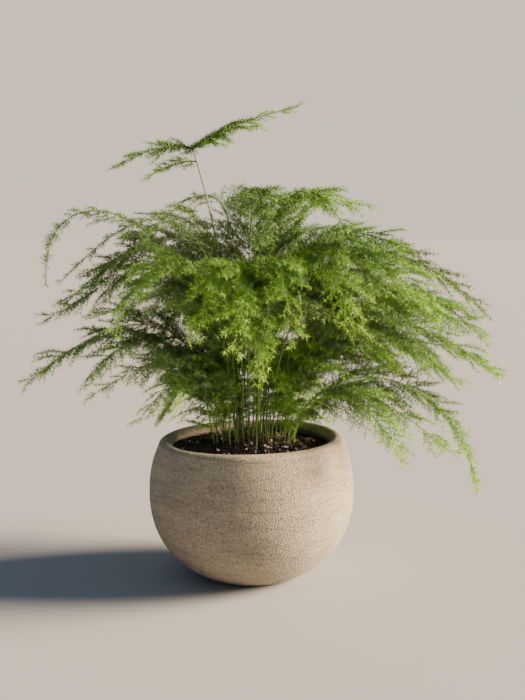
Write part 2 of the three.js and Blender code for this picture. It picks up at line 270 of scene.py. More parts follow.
# The filler branches' reach as a share of the CAD's: on most fronds, on low ones, and on those
# that are fuller or thinner, by their number.
FILLER_SHARE = 0.92
LOW_FILLER_SHARE = 1.15
FULLNESS = {1: 0.68, 2: 0.58, 3: 0.5, 4: 0.5, 5: 1.0, 6: 1.1, 7: 1.15, 8: 1.3, 9: 1.15, 10: 1.3,
            11: 1.15, 12: 1.15, 13: 1.2, 14: 1.3, 17: 1.15, 18: 1.15, 19: 1.3, 20: 1.55, 21: 1.6,
            22: 1.7, 23: 1.05, 24: 1.2, 25: 1.35, 26: 1.7, 27: 1.2, 28: 1.75, 31: 1.25, 33: 1.2,
            35: 1.35, 36: 1.15, 37: 1.15, 38: 0.75, 40: 1.1, 41: 1.15, 46: 1.3, 47: 1.3, 48: 1.3,
            49: 1.3}
TWIG_SPACING = 5.6
TWIG_SHARE = 0.42
TWIG_LEAST = 2.5
TWIG_MOST = 24.0
TWIG_SPLAY = math.radians(36)
TWIG_LENGTHS = 0.7, 1.2
TWIG_LIFTS = -0.16, 0.2
TWIG_ARCH = 0.5
TWIG_FORWARD = 0.15
TWIG_DROOP = 0.08
TUFT_SPACING = 3.4
# The last tufts of a twig are younger by this, and smaller by this share.
TIP_YOUNGER = 0.3
TIP_SMALLER = 0.3
# A tuft has three needles that lean this far from its twig, and three that lean further.
NEEDLE_LEANS = math.radians(38), math.radians(70)
NEEDLE_LENGTH = 6.2
NEEDLE_THICKNESS = 0.35
FROND_SEED = 100
SHOOT_RINGS = 24
SHOOT_RADII = 0.75, 0.2
# A shoot is bare up to this share of it, and then has this many times a twig's tufts.
SHOOT_BARE = 0.22
SHOOT_DENSITY = 1.6
SHOOT_SEED = 300


# ==== Arrays of points ====


def unit(vectors):
    """The same vectors with length 1."""
    return vectors / np.maximum(np.linalg.norm(vectors, axis=-1, keepdims=True), 1e-9)


def along(controls, t):
    """Points of Bezier curves: every pair of neighbouring controls (..., k, 3) is mixed by
    each t (..., s), and the results again, until one point is left for each t."""
    points = np.asarray(controls, float)[..., :, None, :]
    t = np.asarray(t, float)[..., None, :, None]
    while points.shape[-3] > 1:
        points = points[..., :-1, :, :] * (1 - t) + points[..., 1:, :, :] * t
    return points[..., 0, :, :]


def heading(controls, t):
    """The unit direction of each curve at t: the step between points just before and after."""
    t = np.asarray(t, float)
    return unit(along(controls, np.minimum(t + 1e-4, 1)) - along(controls, np.maximum(t - 1e-4, 0)))


def travelled(controls):
    """(t, length so far) at 201 even values of t, for one curve."""
    t = np.linspace(0, 1, 201)
    steps = np.linalg.norm(np.diff(along(controls, t), axis=0), axis=1)
    return t, np.concatenate([[0], np.cumsum(steps)])


def at_share(controls, share):
    """The values of t that lie at these shares of one curve's length."""
    t, length = travelled(controls)
    return np.interp(np.asarray(share) * length[-1], length, t)


def path_length(controls):
    """The length of one curve."""
    return travelled(controls)[1][-1]


def scatter(seed):
    """A repeatable number from 0 to 1 for each whole number."""
    value = math.sin(seed * 12.9898) * 43758.5453
    return value - math.floor(value)


def ripples(x, y, wavelength, seed):
    """A soft random height, mostly from -1 to 1: the sum of eight sine waves that run in
    different directions, with wavelengths near the given one, divided by 3.2."""
    rng = np.random.default_rng(seed)
    total = np.zeros_like(x)
    for turn, stretch, shift in rng.uniform([0, 0.6, 0], [math.pi, 1.7, 2 * math.pi], (8, 3)):
        run = x * math.cos(turn) + y * math.sin(turn)
        total += np.sin(2 * math.pi * run / (wavelength * stretch) + shift)
    return total / 3.2


# ==== Meshes ====

COLOUR_MAP = "OFBake"


def make_piece(name, shapes, material, nodes=(), smooth=True):
    """A mesh piece, at the origin and unturned, from shapes that are (points, faces) or
    (points, faces, uv): points in millimetres, and faces a list of arrays of corners. It rides
    on the plant and stands for the nodes."""
    first, loops, sizes = 0, [], []
    for points, faces, *_ in shapes:
        for group in faces:
            loops.append(group.ravel() + first)
            sizes.append(np.full(len(group), group.shape[1]))
        first += len(points)
    loops, sizes = np.concatenate(loops), np.concatenate(sizes)
    points = np.concatenate([shape[0] for shape in shapes]) * MM
    mesh = bpy.data.meshes.new(name)
    mesh.vertices.add(len(points))
    mesh.vertices.foreach_set("co", points.astype(np.float32).ravel())
    mesh.loops.add(len(loops))
    mesh.loops.foreach_set("vertex_index", loops.astype(np.int32))
    mesh.polygons.add(len(sizes))
    starts = np.cumsum(sizes) - sizes
    mesh.polygons.foreach_set("loop_start", starts.astype(np.int32))
    mesh.polygons.foreach_set("use_smooth", np.full(len(sizes), smooth))
    if len(shapes[0]) > 2:
        uv = np.concatenate([shape[2] for shape in shapes])
        layer = mesh.uv_layers.new(name=COLOUR_MAP)
        layer.uv.foreach_set("vector", uv[loops].astype(np.float32).ravel())
    mesh.update(calc_edges=True)
    mesh.validate()
    mesh.materials.append(material)
    piece = bpy.data.objects.new(name, mesh)
    bpy.context.scene.collection.objects.link(piece)
    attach(piece, "root")
    if nodes:
        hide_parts(*nodes)


def ring_grid(rows, columns):
    """Faces of a grid of points whose columns close into a ring."""
    row, column = np.meshgrid(np.arange(rows - 1), np.arange(columns), indexing="ij")
    here, beside = row * columns + column, row * columns + (column + 1) % columns
    return np.stack([here, beside, beside + columns, here + columns], -1).reshape(-1, 4)


def turned(profile, columns, shape=lambda x, y, z: (x, y, z)):
    """A profile of (radius, height) that starts and ends on the axis, carried round it, with
    one point at each pole. shape moves the points."""
    angle = 2 * math.pi * np.arange(columns) / columns
    radius, height = profile[1:-1, 0, None], profile[1:-1, 1, None]
    x, y, z = radius * np.cos(angle), radius * np.sin(angle), height + 0 * angle
    rings = np.stack(shape(x, y, z), -1).reshape(-1, 3)
    poles = np.array([[0, 0, profile[0, 1]], [0, 0, profile[-1, 1]]])
    rows = len(profile) - 2
    start, end, last = rows * columns, rows * columns + 1, (rows - 1) * columns
    here = np.arange(columns)
    beside = (here + 1) % columns
    fans = np.concatenate([
        np.stack([np.full(columns, start), beside, here], -1),
        np.stack([np.full(columns, end), last + here, last + beside], -1),
    ])
    return np.concatenate([rings, poles]), [ring_grid(rows, columns), fans]


def tubes(paths, radii, sides, ring_uv):
    """A closed tube round every path: a ring of points across each point of the path, quads
    between rings, and a flat face on both ends. paths (p, s, 3), radii (p, s) and ring_uv
    (p, s, 2), whose U grows a little from side to side."""
    count, steps, _ = paths.shape
    tangent = unit(np.gradient(paths, axis=1))
    chord = paths[:, -1] - paths[:, 0] + np.array([1e-3, 2e-3, 0])
    across = unit(np.cross(chord, UP))[:, None]
    normal = unit(np.cross(across, tangent))
    beside = np.cross(tangent, normal)
    angle = 2 * math.pi * np.arange(sides) / sides
    ring = normal[:, :, None] * np.cos(angle)[:, None] + beside[:, :, None] * np.sin(angle)[:, None]
    points = paths[:, :, None] + radii[:, :, None, None] * ring
    offset = (np.arange(count) * steps * sides)[:, None, None]
    quads = (ring_grid(steps, sides)[None] + offset).reshape(-1, 4)
    foot = np.arange(sides)[::-1][None] + offset[:, 0]
    tip = np.arange(sides)[None] + offset[:, 0] + (steps - 1) * sides
    uv = np.broadcast_to(ring_uv[:, :, None], (count, steps, sides, 2)).reshape(-1, 2).copy()
    uv[:, 0] += np.tile(np.arange(sides) * 0.01, count * steps)
    return points.reshape(-1, 3), [quads, foot, tip], uv


# ==== Materials ====


def linear(colour):
    """An sRGB hex colour as linear RGBA."""
    parts = [int(colour[place:place + 2], 16) / 255 for place in (1, 3, 5)]
    return [v / 12.92 if v <= 0.04045 else ((v + 0.055) / 1.055) ** 2.4 for v in parts] + [1.0]


def node(tree, kind, settings=None, **inputs):
    """Adds a node with its settings, then sets or links its inputs, by name or by _number."""
    made = tree.nodes.new(kind)
    for key, value in (settings or {}).items():
        setattr(made, key, value)
    for key, value in inputs.items():
        socket = made.inputs[int(key[1:])] if key[0] == "_" else made.inputs[key.replace("_", " ")]
        if isinstance(value, bpy.types.NodeSocket):
            tree.links.new(value, socket)
        else:
            socket.default_value = value
    return made


def ramp(tree, factor, stops):
    """A colour ramp through (place, hex colour) stops."""
    made = node(tree, "ShaderNodeValToRGB", Fac=factor)
    for extra in range(len(stops) - 2):
        made.color_ramp.elements.new(0.5)
    for element, (place, colour) in zip(made.color_ramp.elements, stops):
        element.position = place
        element.color = linear(colour)
    return made.outputs["Color"]


def new_material(name, roughness, **settings):
    """A material with one Principled shader; returns it, its node tree and the shader."""
    material = bpy.data.materials.new(name)
    material.use_nodes = True
    tree = material.node_tree
    shader = tree.nodes["Principled BSDF"]
    shader.inputs["Roughness"].default_value = roughness
    for key, value in settings.items():
        shader.inputs[key.replace("_", " ")].default_value = value
    return material, tree, shader


def object_places(tree):
    """Where each point of a piece lies, in metres."""
    return node(tree, "ShaderNodeTexCoord").outputs["Object"]


def every(size):
    """The scale that repeats a pattern every so many millimetres."""
    return 1 / (size * MM)


MULTIPLY_COLOURS = {"data_type": "RGBA", "blend_type": "MULTIPLY"}


def stoneware():
    """Unglazed stoneware, thrown on a wheel from a gritty clay and fired: the eye sees a dry,
    sandy, warm grey skin that is rough to the touch, with soft clouds and level bands where the
    clay fired warmer, a few iron specks, flecks of pale grog and small pits."""
    material, tree, shader = new_material("unglazed_stoneware", 0.9)
    places = object_places(tree)
    # Clouds of 50 mm, drawn out sideways into bands by reading the height 2.5 times as fast.
    flat = node(tree, "ShaderNodeMapping", Vector=places, Scale=(1.0, 1.0, 2.5))
    clouds = node(tree, "ShaderNodeTexNoise", Vector=flat.outputs[0], Scale=every(50),
                  Detail=4.0, Roughness=0.6)
    base = ramp(tree, clouds.outputs["Fac"],
                [(0.3, "#9f9789"), (0.5, "#aea593"), (0.7, "#beb19b")])
    # Faint level streaks, 20 mm long and 3 mm high, where the thrower's fingers dragged the grit.
    drawn = node(tree, "ShaderNodeMapping", Vector=places, Scale=(1.0, 1.0, 7.0))
    drag = node(tree, "ShaderNodeTexNoise", Vector=drawn.outputs[0], Scale=every(20.83), Detail=3.0)
    streaks = ramp(tree, drag.outputs["Fac"], [(0.3, "#c9c3b8"), (0.5, "#ffffff")])
    streaked = node(tree, "ShaderNodeMix", MULTIPLY_COLOURS, Factor=0.45, _6=base, _7=streaks)
    # Sand of about 0.6 mm, half of its pattern's repeat: the finest grains are drawn that coarse.
    sand = node(tree, "ShaderNodeTexNoise", Vector=places, Scale=every(1.176), Detail=2.0)
    grit = ramp(tree, sand.outputs["Fac"], [(0.33, "#8a8170"), (0.5, "#ece7dc"), (0.66, "#ffffff")])
    sanded = node(tree, "ShaderNodeMix", MULTIPLY_COLOURS,
                  Factor=0.75, _6=streaked.outputs["Result"], _7=grit)
    # Cells of 2.4 mm. About one in sixteen holds an iron speck and as many a fleck of grog, up to
    # half a cell across.
    cells = node(tree, "ShaderNodeTexVoronoi", Vector=places, Scale=every(2.381))
    tints = node(tree, "ShaderNodeSeparateColor", Color=cells.outputs["Color"])
    small = node(tree, "ShaderNodeMath", {"operation": "LESS_THAN"},
                 _0=cells.outputs["Distance"], _1=0.25)
    colour, spots = sanded.outputs["Result"], []
    for test, bound, tint in (("GREATER_THAN", 0.94, "#5a4a3b"), ("LESS_THAN", 0.07, "#d8ccb6")):
        chosen = node(tree, "ShaderNodeMath", {"operation": test},
                      _0=tints.outputs["Red"], _1=bound)
        spot = node(tree, "ShaderNodeMath", {"operation": "MULTIPLY"},
                    _0=small.outputs[0], _1=chosen.outputs[0])
        spotted = node(tree, "ShaderNodeMix", {"data_type": "RGBA"},
                       Factor=spot.outputs[0], _6=colour, _7=linear(tint))
        colour = spotted.outputs["Result"]
        spots.append(spot.outputs[0])
    tree.links.new(colour, shader.inputs["Base Color"])
    # The skin is rough with the sand and with lumps of about 1 mm, and pitted at the iron specks.
    lumps = node(tree, "ShaderNodeTexNoise", Vector=places, Scale=every(1.786), Detail=3.0)
    rough = node(tree, "ShaderNodeMath", {"operation": "MULTIPLY_ADD"},
                 _0=lumps.outputs["Fac"], _1=0.7, _2=sand.outputs["Fac"])
    pits = node(tree, "ShaderNodeMath", {"operation": "SUBTRACT"},
                _0=rough.outputs[0], _1=spots[0])
    bump = node(tree, "ShaderNodeBump", Strength=1.0, Distance=1.2 * MM, Height=pits.outputs[0])
    tree.links.new(bump.outputs["Normal"], shader.inputs["Normal"])
    return material


def potting_mix():
    """Moist peat and composted bark: almost black crumbs of about 2 mm, with warmer brown ones
    between, all with a finer grain."""
    material, tree, shader = new_material("potting_mix", 0.95)
    places = object_places(tree)
    crumbs = node(tree, "ShaderNodeTexVoronoi", Vector=places, Scale=every(2.222))
    tints = node(tree, "ShaderNodeSeparateColor", Color=crumbs.outputs["Color"])
    colour = ramp(tree, tints.outputs["Green"],
                  [(0.0, "#120d09"), (0.5, "#241a12"), (0.85, "#43301f"), (1.0, "#7a5c3e")])
    tree.links.new(colour, shader.inputs["Base Color"])
    grain = node(tree, "ShaderNodeTexNoise", Vector=places, Scale=every(1.429), Detail=3.0)
    bump = node(tree, "ShaderNodeBump", Strength=0.8, Distance=1.2 * MM,
                Height=grain.outputs["Fac"])
    tree.links.new(bump.outputs["Normal"], shader.inputs["Normal"])
    return material


def puffed_perlite():
    """Perlite, a volcanic glass puffed by heat: chalk white, with grey pores of 0.3 mm."""
    material, tree, shader = new_material("puffed_perlite", 0.9)
    places = object_places(tree)
    pores = node(tree, "ShaderNodeTexNoise", Vector=places, Scale=every(0.6667), Detail=2.0)
    colour = ramp(tree, pores.outputs["Fac"], [(0.3, "#b9b4a8"), (0.55, "#efece4")])
    tree.links.new(colour, shader.inputs["Base Color"])
    return material


def pine_bark():
    """Composted pine bark: a dull dark brown, mottled darker and paler every millimetre or two."""
    material, tree, shader = new_material("pine_bark", 0.9)
    places = object_places(tree)
    grain = node(tree, "ShaderNodeTexNoise", Vector=places, Scale=every(1.667), Detail=4.0)
    colour = ramp(tree, grain.outputs["Fac"], [(0.3, "#1c130d"), (0.6, "#40301f"), (0.8, "#6a5238")])
    tree.links.new(colour, shader.inputs["Base Color"])
    return material


def plant_colour(tree, stops, spread):
    """A colour that runs through stops along V, from old growth to young, and varies in
    brightness and hue along U, which differs from stem to stem."""
    place = node(tree, "ShaderNodeUVMap", {"uv_map": COLOUR_MAP}).outputs["UV"]
    parts = node(tree, "ShaderNodeSeparateXYZ", Vector=place)
    colour = ramp(tree, parts.outputs["Y"], stops)
    value = node(tree, "ShaderNodeMapRange", Value=parts.outputs["X"],
                 To_Min=1 - spread, To_Max=1 + spread)
    hue = node(tree, "ShaderNodeMapRange", Value=parts.outputs["X"], To_Min=0.51, To_Max=0.49)
    varied = node(tree, "ShaderNodeHueSaturation", Hue=hue.outputs[0],
                  Value=value.outputs[0], Color=colour)
    return varied.outputs["Color"]


def wiry_stem():
    """A smooth, half-woody stem: brownish at the foot, deep green above and paler on young
    growth and on fronds painted as lit, with the faint sheen of a waxy skin."""
    material, tree, shader = new_material("wiry_stem", 0.5)
    stops = [(0.0, "#3a3820"), (0.12, "#5f7a2e"), (0.55, "#5d842a"), (0.8, "#84a63c"),
             (1.0, "#a8bb4c")]
    tree.links.new(plant_colour(tree, stops, 0.4), shader.inputs["Base Color"])
    return material


def fine_needles():
    """Needle-like leaf twigs: deep green on old sprays and on those painted as shaded, bright
    yellow-green on young ones and on those painted as lit, and paler at the last tips, with the soft
    sheen of a smooth leaf."""
    material, tree, shader = new_material("fine_needles", 0.5)
    stops = [(0.0, "#263d19"), (0.3, "#455f26"), (0.55, "#588522"), (0.8, "#88b62c"),
             (1.0, "#9dc13a")]
    tree.links.new(plant_colour(tree, stops, 0.5), shader.inputs["Base Color"])
    return material


# ==== Bowl ====

WALL_RINGS = 80
LIP_RINGS = 26
INSIDE_RINGS = 14
BOWL_COLUMNS = 192
# What the maker's hands leave: how deep the dents and ridges are, and how far the rim dips and
# waves.
DENTS = 0.35, 0.25
RIDGES = 0.1, 0.06
RIDGE_SPACING = 6.5
RIM_DIP = 2.0
RIM_WAVE = 0.4


def wall_radius(height):
    """The outer wall: a superellipse through the base's edge, the belly and the lip."""
    below = height < BELLY_HEIGHT
    end_radius = np.where(below, BASE_RADIUS, LIP_OUTER_RADIUS)
    end_offset = np.where(below, BELLY_HEIGHT, POT_HEIGHT - LIP_DROP - BELLY_HEIGHT)
    share = np.abs(height - BELLY_HEIGHT) / end_offset
    loss = (1 - (end_radius / POT_RADIUS) ** WALL_SHAPE) * share ** WALL_SHAPE
    return POT_RADIUS * (1 - loss) ** (1 / WALL_SHAPE)


def inside_profile(gap, count):
    """(radius, height) of the inside of the wall, a gap away from it, from the soil's edge down
    to the floor."""
    share = np.linspace(0, 1, count) ** 0.6
    height = SOIL_EDGE_HEIGHT - WALL + (FLOOR + gap - SOIL_EDGE_HEIGHT + WALL) * share
    wall = np.stack([wall_radius(height) - WALL - gap, height], -1)
    top = [[MOUTH_RADIUS + UNDERCUT - gap, SOIL_EDGE_HEIGHT]]
    return np.concatenate([top, wall, [[0, FLOOR + gap]]])


def handmade(x, y, z):
    """What a thrower's hands leave: slow dents that come and go round the wall, faint ridges
    up it, and a rim that dips a little to the left. The base stays flat."""
    rise = np.clip(z / BELLY_HEIGHT, 0, 1)
    angle = np.arctan2(y, x)
    dents = DENTS[0] * np.sin(2 * angle + 0.6) + DENTS[1] * np.sin(3 * angle + z / 30)
    ridges = (RIDGES[0] * np.sin(2 * math.pi * z / RIDGE_SPACING + angle)
              + RIDGES[1] * np.sin(z * 1.9 + 2 * angle))
    swell = 1 + rise * (dents + ridges) / POT_RADIUS
    high = np.clip((z - BELLY_HEIGHT) / (POT_HEIGHT - BELLY_HEIGHT), 0, 1)
    dip = high ** 2 * (RIM_DIP * x / MOUTH_RADIUS + RIM_WAVE * np.sin(3 * angle))
    return x * swell, y * swell, z + dip


def make_bowl():
    """The bowl's profile, from the middle of its base out, up, over the lip and down inside,
    carried round the axis."""
    lip_height = POT_HEIGHT - LIP_DROP
    lip_half = (LIP_OUTER_RADIUS - MOUTH_RADIUS) / 2
    height = lip_height * (1 - np.cos(np.linspace(0, math.pi / 2, WALL_RINGS)))
    wall = np.stack([wall_radius(height), height], -1)
    angle = np.linspace(0, math.pi, LIP_RINGS)[1:]
    lip = np.stack([MOUTH_RADIUS + lip_half * (1 + np.cos(angle)),
                    lip_height + LIP_DROP * np.sin(angle)], -1)
    bottom = np.array([[0, 0], [20, 0], [40, 0]])
    profile = np.concatenate([bottom, wall, lip, inside_profile(0, INSIDE_RINGS)])
    bowl = turned(profile, BOWL_COLUMNS, handmade)
    make_piece("bowl", [bowl], stoneware(), ["pot"])


# ==== Soil and what lies on it ====

SOIL_RINGS = 70
SOIL_WALL_RINGS = 8
SOIL_COLUMNS = 160
# Lumps in the soil's top: how high, how wide and their seed.
LUMPS = [(0.7, 16, 3), (0.45, 5, 4)]
LITTER_SEED = 21
CRUMBS = 1500
BARK_BITS = 70
BARK_BIT_SIZE = np.array([2.6, 1.3, 0.5])
# Small perlite grains lie spread over the soil, and more of them in front of the stems.
SPREAD_GRAINS = 22
FRONT_GRAINS = 26
FRONT_MIDDLE = [10, -24]
FRONT_SPREAD = [24, 11]


def soil_height(x, y):
    """A slight crown, with lumps a few millimetres across."""
    share = np.hypot(x, y) / MOUTH_RADIUS
    height = SOIL_CROWN_HEIGHT + (SOIL_EDGE_HEIGHT - SOIL_CROWN_HEIGHT) * share ** 2
    for lump, width, seed in LUMPS:
        height = height + lump * ripples(x, y, width, seed)
    return height


def make_soil():
    """A closed bed: the crown's grid of rings, then the inside of the wall down to the floor."""
    radius = np.linspace(0, MOUTH_RADIUS + UNDERCUT - 1, SOIL_RINGS)
    crown = np.stack([radius, np.full(SOIL_RINGS, SOIL_CROWN_HEIGHT)], -1)
    profile = np.concatenate([crown, inside_profile(SOIL_GAP, SOIL_WALL_RINGS)])[::-1]

    def lumpy(x, y, z):
        return x, y, np.where(z > SOIL_EDGE_HEIGHT - 1, soil_height(x, y), z)

    make_piece("soil_bed", [turned(profile, SOIL_COLUMNS, lumpy)], MIX, ["soil"])


def ball(rows, columns):
    """A closed ball of unit radius, as a profile carried round."""
    angle = np.linspace(-math.pi / 2, math.pi / 2, rows)
    profile = np.stack([np.cos(angle), np.sin(angle)], -1)
    return turned(profile, columns)


def strew(shape, places, sizes, rng, roughness):
    """Copies of one small closed shape, each scaled, turned at random and made uneven."""
    points, faces = shape
    count = len(places)
    uneven = 1 + roughness * rng.uniform(-1, 1, (count, len(points), 1))
    shaped = points[None] * uneven * sizes[:, None]
    moved = np.einsum("nij,npj->npi", random_turns(count, rng), shaped) + places[:, None]
    offset = (np.arange(count) * len(points))[:, None, None]
    copied = [(group[None] + offset).reshape(-1, group.shape[1]) for group in faces]
    return moved.reshape(-1, 3), copied


def random_turns(count, rng):
    """Random rotations: a random direction, one square to it and to another random one, and the
    one square to both."""
    first = unit(rng.normal(size=(count, 3)))
    second = unit(np.cross(first, rng.normal(size=(count, 3))))
    return np.stack([first, second, np.cross(first, second)], -1)


def on_soil(count, rng, outer, lift):
    """Random places within a radius, each lifted a little off the soil."""
    radius = np.sqrt(rng.uniform(0, outer ** 2, count))
    angle = rng.uniform(0, 2 * math.pi, count)
    x, y = radius * np.cos(angle), radius * np.sin(angle)
    return np.stack([x, y, soil_height(x, y) + lift], -1)


def soil_top(x, y):
    """The soil's height at one place."""
    return float(soil_height(np.array(float(x)), np.array(float(y))))


def make_litter():
    """Crumbs, bark and perlite over the soil, and the larger grains and chips of the CAD."""
    rng = np.random.default_rng(LITTER_SEED)
    crumb = ball(4, 5)
    places = on_soil(CRUMBS, rng, MOUTH_RADIUS, 0.1)
    sizes = rng.uniform(0.5, 1.9, (CRUMBS, 1)) * rng.uniform(0.6, 1.2, (CRUMBS, 3))
    crumbs = strew(crumb, places, sizes, rng, 0.3)
    make_piece("soil_crumbs", [crumbs], MIX, smooth=False)
    places = on_soil(BARK_BITS, rng, MOUTH_RADIUS - 1, 0.5)
    sizes = rng.uniform(0.8, 1.6, (BARK_BITS, 1)) * BARK_BIT_SIZE
    chips = strew(crumb, places, sizes, rng, 0.25)
    make_piece("bark_bits", [chips], BARK_BROWN, smooth=False)
    spread = on_soil(SPREAD_GRAINS, rng, MOUTH_RADIUS - 3, 0.5)
    x, y = rng.normal(FRONT_MIDDLE, FRONT_SPREAD, (FRONT_GRAINS, 2)).T
    places = np.concatenate([spread, np.stack([x, y, soil_height(x, y) + 0.5], -1)])
    sizes = rng.uniform(0.6, 1.8, (len(places), 1)) * rng.uniform(0.8, 1.1, (len(places), 3))
    grains = strew(crumb, places, sizes, rng, 0.2)
    make_piece("perlite_bits", [grains], WHITE, smooth=False)
    for number, (x, y, size) in enumerate(PERLITE, 1):
        place = np.array([[x, y, soil_top(x, y) + 0.55 * size]])
        lump = strew(ball(6, 8), place, size * GRAIN_SHAPE[None], rng, 0.16)
        make_piece(f"perlite_grain_{number}", [lump], WHITE, [f"perlite_{number}"])
    for number, (x, y, angle) in enumerate(BARK, 1):
        make_bark_chip(number, x, y, angle)


def make_bark_chip(number, x, y, angle):
    """A flat chip: a ball squared off into a blunt-edged slab, roughened and slightly cupped."""
    points, faces = ball(9, 20)
    square = np.sign(points) * np.abs(points) ** 0.45
    uneven = 1 + 0.12 * ripples(points[:, 0] * 9, points[:, 1] * 9 + points[:, 2] * 4, 6, number)
    shaped = square * uneven[:, None] * BARK_SIZE / 2
    shaped[:, 2] += 0.02 * shaped[:, 0] ** 2
    turn = np.array([[math.cos(angle), -math.sin(angle), 0],
                     [math.sin(angle), math.cos(angle), 0], [0, 0, 1]])
    laid = shaped @ turn.T + np.array([x, y, soil_top(x, y) + 0.35 * BARK_SIZE[2]])
    make_piece(f"bark_chip_{number}", [(laid, faces)], BARK_BROWN, [f"bark_{number}"])


# ==== The plant's skeleton, worked out as the CAD does ====

taken_points = np.zeros((0, 3))
taken_owners = np.zeros(0, int)


def joints_of(controls, steps):
    """The joints of the CAD's tube along a curve, which is straight between them."""
    return along(controls, at_share(controls, np.linspace(0, 1, steps + 1)))


def samples(controls, steps):
    """Points along the CAD's tube, at most SAMPLE_STEP apart."""
    joints = joints_of(controls, steps)
    stretches = []
    for start, end in zip(joints, joints[1:]):
        count = math.ceil(np.linalg.norm(end - start) / SAMPLE_STEP)
        stretches.append(start + (end - start) * np.linspace(0, 1, count + 1)[:, None])
    return np.concatenate(stretches)


def take(owner, points):
    """Marks the points as used by one frond."""
    global taken_points, taken_owners
    taken_points = np.concatenate([taken_points, points])
    taken_owners = np.concatenate([taken_owners, np.full(len(points), owner)])


def is_clear(points, owner):
    """Whether no other frond's points lie within LINE_GAP of these."""
    low, high = points.min(0) - LINE_GAP, points.max(0) + LINE_GAP
    inside = np.all((taken_points > low) & (taken_points < high), axis=1)
    near = taken_points[inside & (taken_owners != owner)]
    gaps = np.linalg.norm(points[:, None] - near[None], axis=2)
    return near.size == 0 or gaps.min() >= LINE_GAP


def place_clear(owner, steps, bends, draw):
    """The first of the bent curves that is clear of other fronds."""
    for bend in bends:
        controls = draw(bend)
        points = samples(controls, steps)
        if is_clear(points, owner):
            take(owner, points)
            return controls
    return None


def radial(turn, distance, height):
    """A point at a distance from the middle of the clump, the way that a turn in degrees gives."""
    angle = math.radians(turn)
    return CLUMP_CENTRE + [distance * math.cos(angle), distance * math.sin(angle), height]


def arching_stem(row, number):
    """A cubic curve: up from a foot in the clump towards the lift, then over and out to the
    tip. The feet of the tallest stems stand nearest to the middle."""
    turn, lift, over_distance, over_height, tip_distance, tip_height, _ = row
    inward = min(max((lift - LOWEST_LIFT) / LIFT_RANGE, 0), INNERMOST)
    nudge = FOOT_SCATTER * scatter(number + FOOT_SEED)
    foot_distance = CLUMP_RADIUS * math.sqrt(1 - inward) - nudge
    lean_distance = foot_distance + STEM_LEAN * tip_distance
    foot_turn = turn + TURN_SCATTER * (scatter(number + TURN_SEED) - 0.5)
    return place_clear(number, STEM_STEPS, STEM_BENDS, lambda bend: np.array([
        radial(foot_turn + FOOT_SHIFT * bend, foot_distance, FOOT_HEIGHT),
        radial(foot_turn + FOOT_SHIFT * bend, lean_distance, lift),
        radial(turn + bend, over_distance, over_height),
        radial(turn + bend, tip_distance, tip_height),
    ]))


def on_stem(stem, place):
    """A point on the CAD's tube, which is straight between its steps."""
    joints = joints_of(stem, STEM_STEPS)
    step = min(int(place * STEM_STEPS), STEM_STEPS - 1)
    share = place * STEM_STEPS - step
    return joints[step] * (1 - share) + joints[step + 1] * share


def bowed(start, out, ahead, length, arch, forward, droop):
    """Quadratic curves (n, 3, 3) that set out one way, bend after a share of their length, and
    end further ahead and lower by other shares of it."""
    middle = start + out * arch * length
    end = start + out * length + ahead * forward * length - UP * droop * length
    return np.stack([start, middle, end], axis=1)


def branch_curves(start, ahead, *numbers):
    """Bowed curves that leave a rachis at an angle to either side, rise by a slope that is
    higher behind than in front, and sink at their ends."""
    side, length, rise, splay, droop = (np.asarray(v, float)[:, None] for v in numbers)
    across = unit(np.cross(UP, ahead)) * side
    slope = rise + SIDE_ROLL * across[:, 1:2]
    out = unit(ahead * np.cos(splay) + across * np.sin(splay) + UP * slope)
    return bowed(start, out, ahead, length, SIDE_ARCH, SIDE_FORWARD, droop)


def side_reach(spread, share, vary):
    """A side branch is longest a little way out along the spray and shrinks to its tip."""
    swell = np.minimum(1, FIRST_SHARE + SWELL_RATE * share)
    return spread * swell * vary * (1 - TAPER * share)


def cad_branches(owner, rachis, start, spread, sink):
    """The CAD's own side branches of one spray."""
    length = path_length(rachis) * (SPRAY_END - start)
    count = max(FEWEST_SIDES, math.floor(length / SIDE_SPACING + 0.5))
    found = []
    for step in range(count):
        share = (step + 0.5) / count
        place = start + (SPRAY_END - start) * share
        vary = 1 + LENGTH_SCATTER * (scatter(owner * LENGTH_SEED + step) - 0.5)
        reach = side_reach(spread, share, vary)
        side = 1 if (step + owner) % 2 == 0 else -1
        foot = on_stem(rachis, place)[None]
        ahead = heading(rachis, [at_share(rachis, place)])
        splay = SPLAY + SPLAY_SCATTER * (scatter(owner * SPLAY_SEED + step) - 0.5)
        droop = sink * (0.5 + scatter(owner * DROOP_SEED + step))
        branch = place_clear(owner, SIDE_STEPS, SIDE_BENDS, lambda rise: branch_curves(
            foot, ahead, [side], [reach], [rise], [splay], [droop])[0])
        if branch is not None:
            found.append(branch)
    return np.array(found).reshape(-1, 3, 3)


# ==== Fronds ====


def star_template():
    """Six needles of length 1 from one point of a twig that runs along Z: a small double
    pyramid, each face of which is drawn out into a spike."""
    core = NEEDLE_THICKNESS / NEEDLE_LENGTH
    corner = 2 * math.pi * np.arange(3) / 3
    ring = np.stack([core * np.cos(corner), core * np.sin(corner), 0 * corner], -1)
    poles = np.array([[0, 0, core], [0, 0, -core]])
    middle = corner + math.pi / 3
    tips = [np.stack([math.sin(lean) * np.cos(middle + twist),
                      math.sin(lean) * np.sin(middle + twist),
                      math.cos(lean) + 0 * middle], -1)
            for lean, twist in zip(NEEDLE_LEANS, (0, 0.5))]
    points = np.concatenate([ring, poles, *tips])
    faces = []
    for near in range(3):
        beside = (near + 1) % 3
        upper, lower = 5 + near, 8 + near
        faces += [[near, beside, upper], [beside, 3, upper], [3, near, upper]]
        faces += [[beside, near, lower], [near, 4, lower], [4, beside, lower]]
    return points, np.array(faces)


STAR_POINTS, STAR_FACES = star_template()


